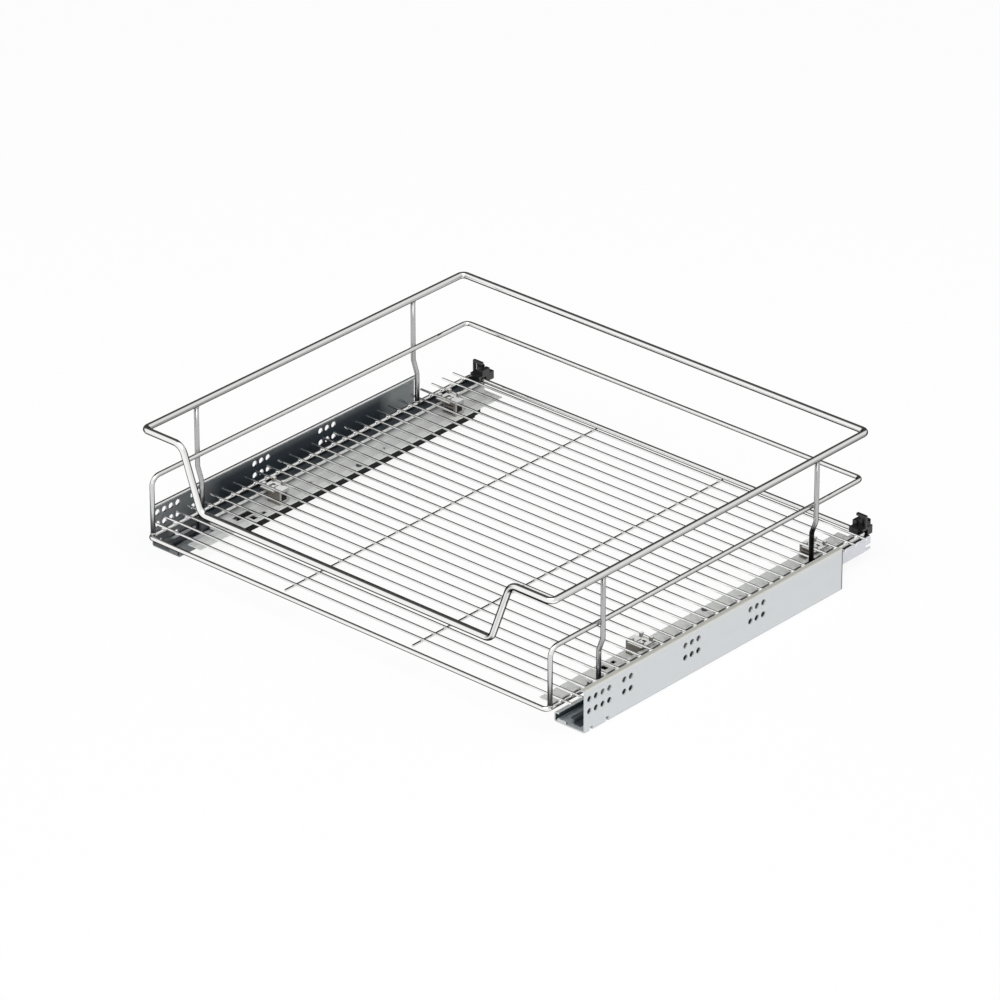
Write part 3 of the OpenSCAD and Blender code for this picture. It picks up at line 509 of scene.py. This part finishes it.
zinc_left = finish("zinc_left", display_tone(190, 193, 195), gloss=0.36, metallic=0.1,
                   **zinc_skin, tones=[
                       # Painted shade on the inner face, with painted light at its top, its rear
                       # and its front
                       (display_tone(62, 70, 76), facing(RIGHT)),
                       (display_tone(112, 117, 119), facing(RIGHT), beyond(UP, 34, 41)),
                       (display_tone(150, 154, 154), facing(RIGHT), beyond(BACK, 112, 132)),
                       (display_tone(128, 132, 134), facing(RIGHT), beyond(FRONT, 118, 150)),
                       # Painted light on the lip, and painted shade on its outer edge
                       (display_tone(250, 250, 249), facing(UP), beyond(UP, 40, 41)),
                       (display_tone(28, 28, 27), facing(UP), beyond(LEFT, 278.2, 278.8)),
                       # Painted shade at the front end of the channel
                       (display_tone(104, 108, 110), beyond(FRONT, 190, 195),
                        beyond(DOWN, -14, -12)),
                   ])
zinc_right = finish("zinc_right", display_tone(205, 208, 210), gloss=0.40, metallic=0.3,
                    **zinc_skin, tones=[
                        # Painted shade on the plate's lower and rear edges, and painted light on
                        # its lip
                        (sheet_edge_painted_shade, facing(RIGHT), beyond(DOWN, -1.4, -0.9)),
                        (sheet_edge_painted_shade, facing(RIGHT), beyond(BACK, 163.4, 163.8)),
                        (display_tone(204, 203, 196), facing(UP), beyond(UP, 40, 41)),
                        # Painted shade on the inner face and the channel's wall, and painted light
                        # on its floor
                        (display_tone(60, 66, 72), facing(LEFT)),
                        (display_tone(66, 80, 86), facing(RIGHT), beyond(LEFT, -272, -270)),
                        (display_tone(190, 198, 202), facing(UP), beyond(DOWN, -3, -2)),
                    ])
zinc_middle = finish("zinc_middle", (0.10, 0.11, 0.12), gloss=0.40, metallic=0.6,
                     stretch=along_depth, scale=300.0)

# The flanges are painted lighter on the right than on the left, and painted shadow lies on the
# wall's top: all of it on the left, and on the right only its outer edge
flange_painted_light = {"left": display_tone(200, 201, 200), "right": display_tone(216, 217, 214)}
wall_painted_shade = {
    "left": (display_tone(50, 56, 60), beyond(UP, 18.5, 23.5)),
    "right": (display_tone(24, 26, 28), beyond(UP, 18.5, 23.5), beyond(RIGHT, 250.5, 251.0)),
}
zinc_drawer = {}
for name, side in SIDES.items():
    inwards = (-side, 0, 0)
    outwards = (side, 0, 0)
    zinc_drawer[name] = finish("zinc_drawer_" + name, flange_painted_light[name], gloss=0.42,
                               metallic=0.1, **zinc_skin, tones=[
        # Painted light on the flange's inner part, painted shadow on the wall's top, painted light
        # along the wall's top inside its edge, and painted light on the tail's outer face
        (display_tone(218, 220, 216), beyond(inwards, -230.0, -228.5)),
        wall_painted_shade[name],
        (display_tone(206, 207, 204), beyond(UP, 23.5, 24.0), beyond(inwards, -246.8, -246.4)),
        (display_tone(212, 214, 220), facing(outwards), beyond(BACK, 150, 165)),
    ])
for material in (zinc_left, zinc_right, zinc_middle, *zinc_drawer.values()):
    print("zinc finish", material.name)

# %% [markdown]
# The balls are polished steel. The closing spring is a plain tube in the imported model, and
# noise that is pressed together along the depth gives it the bands of its windings. The
# closing unit and the rear brackets are black, with a fine grain from the mould, and the
# brackets shine more. The clips are white, with painted shade that makes them greyer on their
# front and right sides.

# %% Steel, plastic and rubber
steel = finish("ball_steel", (0.75, 0.75, 0.76), gloss=0.10, metallic=1.0)
spring_steel = finish("spring_steel", (0.42, 0.43, 0.45), gloss=0.25, metallic=1.0,
                      stretch=(1, 30, 1), scale=60.0)
black_plastic = finish("black_plastic", (0.008, 0.008, 0.009), gloss=0.5, metallic=0.0,
                       tone=0.3, scale=500.0, unevenness=0.25, sheen=0.1)
glossy_black = finish("glossy_black", (0.014, 0.014, 0.015), gloss=0.16, metallic=0.0,
                      tone=0.2, scale=300.0, unevenness=0.08)
pocket_painted_shade = finish("pocket_painted_shade", (0.012, 0.011, 0.010), gloss=0.6, metallic=0.0,
                      tone=0.4, scale=400.0, unevenness=0.2, sheen=0.1)
white_plastic = finish("white_plastic", (0.70, 0.70, 0.68), gloss=0.45, metallic=0.0,
                       scale=500.0, unevenness=0.15)
clip_plastic = finish("clip_plastic", (0.80, 0.80, 0.79), gloss=0.32, metallic=0.0,
                      scale=500.0, unevenness=0.15, tones=[
                          # Painted shade on the front and right sides
                          (display_tone(112, 107, 100), facing(FRONT)),
                          (display_tone(150, 150, 148), facing(RIGHT)),
                      ])
rubber = finish("black_rubber", (0.03, 0.03, 0.03), gloss=0.75, metallic=0.0,
                tone=0.3, scale=700.0, unevenness=0.3)
print("all finishes", [material.name for material in bpy.data.materials])

# %% [markdown]
# The folded profiles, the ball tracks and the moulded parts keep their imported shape, because
# it already has their bends, holes and hooks. They only get their finish.

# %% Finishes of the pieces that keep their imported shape
kept = {
    "guide_strip": zinc_middle, "guide_rivets": zinc_middle, "stop_buffer": rubber,
    "damper_housing": black_plastic, "damper_cover": black_plastic,
    "damper_cylinder": white_plastic, "damper_rod": steel, "closing_spring": spring_steel,
    "catch_slider": white_plastic, "middle_profile": zinc_middle, "lower_cage": white_plastic,
    "lower_balls": steel, "upper_cage": white_plastic, "upper_balls": steel,
    "catch_pin": zinc_middle, "front_clip": clip_plastic, "rear_clip": clip_plastic,
    "rear_bracket": glossy_black, "height_adjuster": glossy_black,
}


def dress(node, material):
    """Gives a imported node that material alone."""
    nodes[node].data.materials.clear()
    nodes[node].data.materials.append(material)


for piece, material in kept.items():
    for side in SIDES:
        dress(f"{piece}_{side}", material)
for side, plate in (("left", zinc_left), ("right", zinc_right)):
    dress(f"cabinet_profile_{side}", plate)
    dress(f"drawer_profile_{side}", zinc_drawer[side])
folded_profiles = 4
print("packed pieces that keep their shape:", len(SIDES) * len(kept) + folded_profiles)

# %% [markdown]
# All the wires are round bars, bent at their corners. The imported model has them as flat
# facets, and chrome shows every facet, so each wire is made again as a smooth tube. Its centre
# line is given as in a drawing for a wire bender: by its corners and the radius of each bend.

# %% Centre lines
ARC_STEP = np.radians(7.0)


def bent_line(points, radii, closed=False):
    """Centre line through points, with each corner replaced by an arc of its radius.

    An arc of radius r starts where the line arrives and turns by the corner's angle. Its points
    are centre + r (sin t arriving - cos t inward), where inward points to its centre."""
    points = np.asarray(points, float)
    count = len(points)
    line = []
    for i, radius in enumerate(radii):
        if not closed and i in (0, count - 1):
            line.append(points[i][None])
            continue
        arriving = points[i] - points[i - 1]
        leaving = points[(i + 1) % count] - points[i]
        arriving /= np.linalg.norm(arriving)
        leaving /= np.linalg.norm(leaving)
        turn = np.arccos(np.clip(arriving @ leaving, -1, 1))
        inward = leaving - arriving * (arriving @ leaving)
        inward /= np.linalg.norm(inward)
        centre = points[i] - arriving * radius * np.tan(turn / 2) + inward * radius
        t = np.linspace(0, turn, max(3, int(np.ceil(turn / ARC_STEP)) + 1))[:, None]
        line.append(centre + radius * (np.sin(t) * arriving - np.cos(t) * inward))
    return np.concatenate(line)


right_angle = bent_line([(0, 0, 0), (1, 0, 0), (1, 1, 0)], [0, 0.1, 0])
print("points of a line with one right angle", len(right_angle))

# %% [markdown]
# A tube is a circle carried along its line. Blender's curves can do that with a round bevel,
# but a tube worked out here has closed ends and knows where each of its points lies. The
# circle's plane comes from one fixed helper direction, which keeps it from twisting. Thick
# wires get more sides, because their outline shows more.

# %% Tubes
RAIL_SIDES = 28
WIRE_SIDES = 20
THIN_SIDES = 14


def grid_faces(rows, columns, row_loop=False):
    """Four-cornered faces of a grid whose columns close into a ring.

    The face at row i and column j has the corners (i, j), (i, j+1), (i+1, j+1), (i+1, j). With
    row_loop, the last row is joined to the first."""
    i = np.arange(rows if row_loop else rows - 1)[:, None]
    j = np.arange(columns)[None, :]
    below, above = (i % rows) * columns, ((i + 1) % rows) * columns
    right = (j + 1) % columns
    return np.stack([below + j, below + right, above + right, above + j], -1).reshape(-1, 4)


def tube(line, radius, closed=False, helper=(0.31, 0.43, 0.85), sides=WIRE_SIDES):
    """Circle carried along a line: point(s, t) = line(s) + radius(s) (cos t n(s) + sin t b(s)).

    n is the helper direction less its part along the tangent, and b is the tangent crossed with n.
    Each end of an open line is closed by a fan of triangles around its middle point."""
    if closed:
        tangent = np.roll(line, -1, 0) - np.roll(line, 1, 0)
    else:
        tangent = np.gradient(line, axis=0)
    tangent /= np.linalg.norm(tangent, axis=1)[:, None]
    helper = np.asarray(helper)
    n = helper - tangent * (tangent @ helper)[:, None]
    n /= np.linalg.norm(n, axis=1)[:, None]
    b = np.cross(tangent, n)
    t = np.linspace(0, 2 * np.pi, sides, endpoint=False)
    radius = np.broadcast_to(radius, len(line))[:, None, None]
    ring = np.cos(t)[None, :, None] * n[:, None] + np.sin(t)[None, :, None] * b[:, None]
    points = (line[:, None] + radius * ring).reshape(-1, 3)
    faces = [grid_faces(len(line), sides, closed)]
    if not closed:
        j = np.arange(sides)
        last = (len(line) - 1) * sides
        first_middle, last_middle = len(points), len(points) + 1
        points = np.concatenate([points, line[:1], line[-1:]])
        faces.append(np.stack([np.full(sides, first_middle), (j + 1) % sides, j], -1))
        faces.append(np.stack([np.full(sides, last_middle), last + j, last + (j + 1) % sides], -1))
    return points, faces


print("points of a tube along that line", len(tube(right_angle, 0.01)[0]))

# %% [markdown]
# A cut wire has a slightly rounded edge at each end, which is a tube whose radius shrinks
# there. A bead of weld metal is a small flat ellipsoid. There are over a hundred of them, so
# each has only a few faces, and one is worked out and repeated at all its places.

# %% Cut ends, beads and repeats
def rounded_ends(start, end, radius, edge=0.3, steps=4):
    """Line and radii of a straight bar whose two ends have a rounded edge.

    edge is the rounding's share of the radius, and steps is the number of its rings. There the
    depth is edge r (1 - sin t) and the radius r (1 - edge + edge cos t), for t from 90 to 0
    degrees."""
    start, end = np.asarray(start, float), np.asarray(end, float)
    along = (end - start) / np.linalg.norm(end - start)
    t = np.linspace(np.pi / 2, 0, steps)
    depth = edge * radius * (1 - np.sin(t))
    width = radius * (1 - edge + edge * np.cos(t))
    line = np.concatenate([start + depth[:, None] * along, (end - depth[:, None] * along)[::-1]])
    return line, np.concatenate([width, width[::-1]])


def bead(half_sizes, rings=5, sides=8):
    """Ellipsoid around the origin: (a sin u cos v, b sin u sin v, c cos u).

    Each pole is closed by a fan of triangles."""
    u = np.linspace(0, np.pi, rings + 2)[1:-1][:, None]
    v = np.linspace(0, 2 * np.pi, sides, endpoint=False)[None, :]
    points = np.stack([np.sin(u) * np.cos(v), np.sin(u) * np.sin(v), np.cos(u) + 0 * v], -1)
    points = points.reshape(-1, 3)
    j = np.arange(sides)
    last = (rings - 1) * sides
    top, bottom = len(points), len(points) + 1
    points = np.concatenate([points, [[0, 0, 1]], [[0, 0, -1]]]) * np.asarray(half_sizes)
    faces = [grid_faces(rings, sides)[:, ::-1],
             np.stack([np.full(sides, top), j, (j + 1) % sides], -1),
             np.stack([np.full(sides, bottom), last + (j + 1) % sides, last + j], -1)]
    return points, faces


def repeated(shape, places):
    """The same (points, faces) at every place."""
    points, faces = shape
    places = np.asarray(places, float)
    starts = (np.arange(len(places)) * len(points))[:, None, None]
    return ((points[None] + places[:, None]).reshape(-1, 3),
            [(part[None] + starts).reshape(-1, part.shape[1]) for part in faces])


def joined(*shapes):
    """Several (points, faces) pairs as one."""
    points, faces, start = [], [], 0
    for shape_points, shape_faces in shapes:
        points.append(shape_points)
        faces += [part + start for part in shape_faces]
        start += len(shape_points)
    return np.concatenate(points), faces


print("points of one bead", len(bead((1, 1, 1))[0]))

# %% [markdown]
# A finished piece is one mesh at the origin, with its place in its points, as the packed
# pieces have it. It rides on a body of the mechanism, so it moves with the basket, and it says
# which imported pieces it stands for. Those stay in the motion model and are only hidden here.

# %% From a shape to a piece
def make_piece(name, shape, body, material, replaced=(), smooth=True):
    """A mesh object from (points, faces). It rides on body and stands for the replaced nodes."""
    points, faces = shape
    mesh = bpy.data.meshes.new(name)
    mesh.from_pydata(points.tolist(), [], [face for part in faces for face in part.tolist()])
    mesh.polygons.foreach_set("use_smooth", np.full(len(mesh.polygons), smooth))
    mesh.materials.append(material)
    mesh.update()
    piece = bpy.data.objects.new(name, mesh)
    bpy.context.scene.collection.objects.link(piece)
    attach(piece, body)
    if replaced:
        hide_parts(*replaced)
    print(name, len(mesh.vertices), "points")
    return piece


# %% [markdown]
# The top rail is one closed loop with a dip in its front. The mid rail is a thinner U with
# two front legs, and the floor frame is a plain loop. Their outer sizes come from the boxes
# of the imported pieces, and only the wire diameters and the bend radii are written here.

# %% Rails and floor frame
rail_r = 3.5 * MM
frame_r = 2.5 * MM
rail_bend = 6 * MM
leg_bend = 10 * MM
frame_bend = 5 * MM
dip_upper_bend = 13 * MM
dip_lower_bend = 11 * MM
dip_top_half = 212.5 * MM
dip_bottom_half = 188 * MM
dip_depth = 67 * MM

frame_lo, frame_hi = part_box("floor_frame")
frame_x = frame_hi[0] - frame_r
frame_front, frame_back = frame_lo[1] + frame_r, frame_hi[1] - frame_r
frame_z = (frame_lo[2] + frame_hi[2]) / 2
rail_lo, rail_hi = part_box("top_rail")
rail_x = rail_hi[0] - rail_r
rail_front, rail_back = rail_lo[1] + rail_r, rail_hi[1] - rail_r
dip_z = rail_lo[2] + rail_r
rail_z = dip_z + dip_depth
mid_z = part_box("mid_rail")[1][2] - frame_r

rail_line = bent_line([
    (-rail_x, rail_front, rail_z), (-dip_top_half, rail_front, rail_z),
    (-dip_bottom_half, rail_front, dip_z), (dip_bottom_half, rail_front, dip_z),
    (dip_top_half, rail_front, rail_z), (rail_x, rail_front, rail_z),
    (rail_x, rail_back, rail_z), (-rail_x, rail_back, rail_z),
], [
    rail_bend, dip_upper_bend, dip_lower_bend, dip_lower_bend, dip_upper_bend,
    rail_bend, rail_bend, rail_bend,
], closed=True)
rail_tube = tube(rail_line, rail_r, closed=True, sides=RAIL_SIDES)
make_piece("top_rail_wire", rail_tube, "basket", chrome, ["top_rail"])

frame_line = bent_line([
    (-frame_x, frame_front, frame_z), (frame_x, frame_front, frame_z),
    (frame_x, frame_back, frame_z), (-frame_x, frame_back, frame_z),
], [frame_bend] * 4, closed=True)
frame_tube = tube(frame_line, frame_r, closed=True)
make_piece("floor_frame_wire", frame_tube, "basket", chrome, ["floor_frame"])

leg_y = frame_front + frame_bend
mid_line = bent_line([
    (-frame_x, leg_y, frame_z), (-frame_x, leg_y, mid_z), (-frame_x, rail_back, mid_z),
    (frame_x, rail_back, mid_z), (frame_x, leg_y, mid_z), (frame_x, leg_y, frame_z),
], [0, leg_bend, rail_bend, rail_bend, leg_bend, 0])
mid_rail = make_piece("mid_rail_wire", tube(mid_line, frame_r), "basket", chrome,
                      ["mid_rail"])

# The upright legs mirror the white floor only, so they are given the posts' chrome, which is
# painted darker, from a little below the middle of their bend
leg_share = 0.6
mid_rail.data.materials.append(upright_chrome_painted_dark)
centres = np.empty(3 * len(mid_rail.data.polygons))
mid_rail.data.polygons.foreach_get("center", centres)
on_leg = centres[2::3] < mid_z - leg_share * leg_bend
mid_rail.data.polygons.foreach_set("material_index", on_leg.astype(np.int32))
print("faces on the two legs", int(on_leg.sum()))

# %% [markdown]
# The thin wires lie across the floor frame, and two more lie under them from front to back.
# They are cut lengths, so their ends are flat with a slightly rounded edge.

# %% Floor wires
wire_r = 1.25 * MM
cross_r = 1.5 * MM
wire_count = 28
wires_lo, wires_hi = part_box("floor_wires")
wire_z = (wires_lo[2] + wires_hi[2]) / 2
wire_ys = np.linspace(wires_lo[1] + wire_r, wires_hi[1] - wire_r, wire_count)
cross_lo, cross_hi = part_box("cross_wires")
cross_z = (cross_lo[2] + cross_hi[2]) / 2
cross_x = cross_hi[0] - cross_r

line, radii = rounded_ends((wires_lo[0], 0, wire_z), (wires_hi[0], 0, wire_z), wire_r)
wire_places = np.stack([0 * wire_ys, wire_ys, 0 * wire_ys], -1)
wire_row = repeated(tube(line, radii, sides=THIN_SIDES), wire_places)
make_piece("floor_wire_row", wire_row, "basket", thin_chrome, ["floor_wires"])

cross_parts = []
for x in (-cross_x, cross_x):
    line, radii = rounded_ends((x, cross_lo[1], cross_z), (x, cross_hi[1], cross_z), cross_r)
    cross_parts.append(tube(line, radii, sides=THIN_SIDES))
make_piece("cross_wire_pair", joined(*cross_parts), "basket", shaded_chrome,
           ["cross_wires"])

# %% [markdown]
# Each post runs down from the top rail, passes the outside of the mid rail and leans inwards
# to stand on the floor frame. Its two ends stop at the centre lines of the round wires that
# they meet.

# %% Posts
jog_top = 48 * MM
jog_bottom = 34 * MM
jog_bend = 8 * MM
post_helper = (0, 1, 0.1)
post_centres = {}
for end in ("front", "rear"):
    for side, sign in SIDES.items():
        node = f"post_{end}_{side}"
        lo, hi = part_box(node)
        y = (lo[1] + hi[1]) / 2
        post_centres[end, side] = y
        line = bent_line([
            (sign * rail_x, y, rail_z), (sign * rail_x, y, frame_z + jog_top),
            (sign * frame_x, y, frame_z + jog_bottom), (sign * frame_x, y, frame_z),
        ], [0, jog_bend, jog_bend, 0])
        post = tube(line, frame_r, helper=post_helper)
        make_piece(f"{node}_wire", post, "basket", upright_chrome_painted_dark, [node])

# %% [markdown]
# Every crossing is a resistance weld: the two wires are pressed together while a current
# softens them, and a little metal swells out of the joint. Each weld is a small flat bead
# that sits in the joint, wider along the thinner wire.

# %% Weld beads
frame_bead = bead((2.2 * MM, 1.9 * MM, 0.9 * MM))
cross_bead = bead((1.7 * MM, 1.5 * MM, 0.8 * MM))
frame_joint_z = wires_lo[2]
frame_joints = [(sign * frame_x, y, frame_joint_z) for sign in SIDES.values() for y in wire_ys]
cross_joints = [(x, y, frame_joint_z) for x in (-cross_x, cross_x) for y in wire_ys]
floor_beads = joined(repeated(frame_bead, frame_joints), repeated(cross_bead, cross_joints))
make_piece("floor_weld_beads", floor_beads, "basket", thin_chrome)

post_bead = bead((2.9 * MM, 2.9 * MM, 1.6 * MM), rings=7, sides=12)
touch_bead = bead((0.9 * MM, 2.4 * MM, 1.9 * MM), rings=7, sides=12)
post_joints = [(sign * x, post_centres[end, side], z)
               for end in ("front", "rear") for side, sign in SIDES.items()
               for x, z in ((rail_x, rail_z - rail_r), (frame_x, frame_z + frame_r))]
touch_joints = [(sign * (frame_x + frame_r), post_centres[end, side], mid_z)
                for end in ("front", "rear") for side, sign in SIDES.items()]
leg_joints = [(sign * frame_x, leg_y, frame_z + frame_r) for sign in SIDES.values()]
end_joints = post_joints + leg_joints
post_beads = joined(repeated(post_bead, end_joints), repeated(touch_bead, touch_joints))
make_piece("post_weld_beads", post_beads, "basket", upright_chrome_painted_dark)
print("welds", sum(map(len, (frame_joints, cross_joints, end_joints, touch_joints))))

# %% [markdown]
# The clips are moulded hollow to save plastic. Each opens towards the right with one pocket,
# the rear clips have three slots in their front wall, and ribs on the cap leave three narrow
# gaps between them. Each opening is drawn as a dark sheet of painted shade in the face that it
# opens in, where the hollow would lie in shade.

# %% Painted shade in the pockets, slots and gaps of the clips
HALF_SHEET = 0.06 * MM


def flat_boxes(boxes):
    """Boxes from (low corner, high corner) pairs: eight points and six faces each."""
    boxes = np.asarray(boxes, float)
    high = np.array([(0, 0, 0), (1, 0, 0), (1, 1, 0), (0, 1, 0),
                     (0, 0, 1), (1, 0, 1), (1, 1, 1), (0, 1, 1)], bool)
    points = np.where(high[None], boxes[:, 1][:, None], boxes[:, 0][:, None]).reshape(-1, 3)
    faces = np.array([(0, 3, 2, 1), (4, 5, 6, 7), (0, 1, 5, 4),
                      (1, 2, 6, 5), (2, 3, 7, 6), (3, 0, 4, 7)])
    starts = (np.arange(len(boxes)) * high.shape[0])[:, None, None]
    return points, [(faces[None] + starts).reshape(-1, 4)]


# The clip stands on the flange. Its wall and its cap are given by their distances from the
# basket's middle, and every other size from a corner of the wall or the cap
flange_z = 15.2 * MM
cap_low, cap_top = 29.1 * MM, 30.7 * MM
wall_near, wall_far = 226 * MM, 243 * MM
cap_near, cap_far = 231.5 * MM, 249 * MM
half_wall = 6.55 * MM
slots = 3
first_slot, slot_pitch, slot_height = 2.2 * MM, 4.0 * MM, 1.5 * MM
slot_from_left, slot_from_right = 2.5 * MM, 3 * MM
pocket_start, pocket_end = 2.5 * MM, 10 * MM
pocket_bottom, pocket_top = 4 * MM, 2 * MM
gaps = 3
first_gap, gap_pitch, gap_width, half_gap = 5 * MM, 3.2 * MM, 1.1 * MM, 3.5 * MM

openings = []
for end in ("front", "rear"):
    for side, sign in SIDES.items():
        lo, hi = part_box(f"{end}_clip_{side}")
        middle_y = (lo[1] + hi[1]) / 2
        wall_y = middle_y - half_wall
        left, right = sorted((sign * wall_near, sign * wall_far))
        cap_left = min(sign * cap_near, sign * cap_far)
        if end == "rear":
            for k in range(slots):
                z = flange_z + first_slot + slot_pitch * k
                openings.append(((left + slot_from_left, wall_y - HALF_SHEET, z),
                                 (right - slot_from_right, wall_y + HALF_SHEET, z + slot_height)))
        openings.append(((right - HALF_SHEET, wall_y + pocket_start, flange_z + pocket_bottom),
                         (right + HALF_SHEET, wall_y + pocket_end, cap_low - pocket_top)))
        for k in range(gaps):
            x = cap_left + first_gap + gap_pitch * k
            openings.append(((x, middle_y - half_gap, cap_top - HALF_SHEET),
                             (x + gap_width, middle_y + half_gap, cap_top + HALF_SHEET)))
# The openings as dark sheets of painted shade
make_piece("clip_pocket_painted_shade", flat_boxes(openings), "basket", pocket_painted_shade,
           smooth=False)
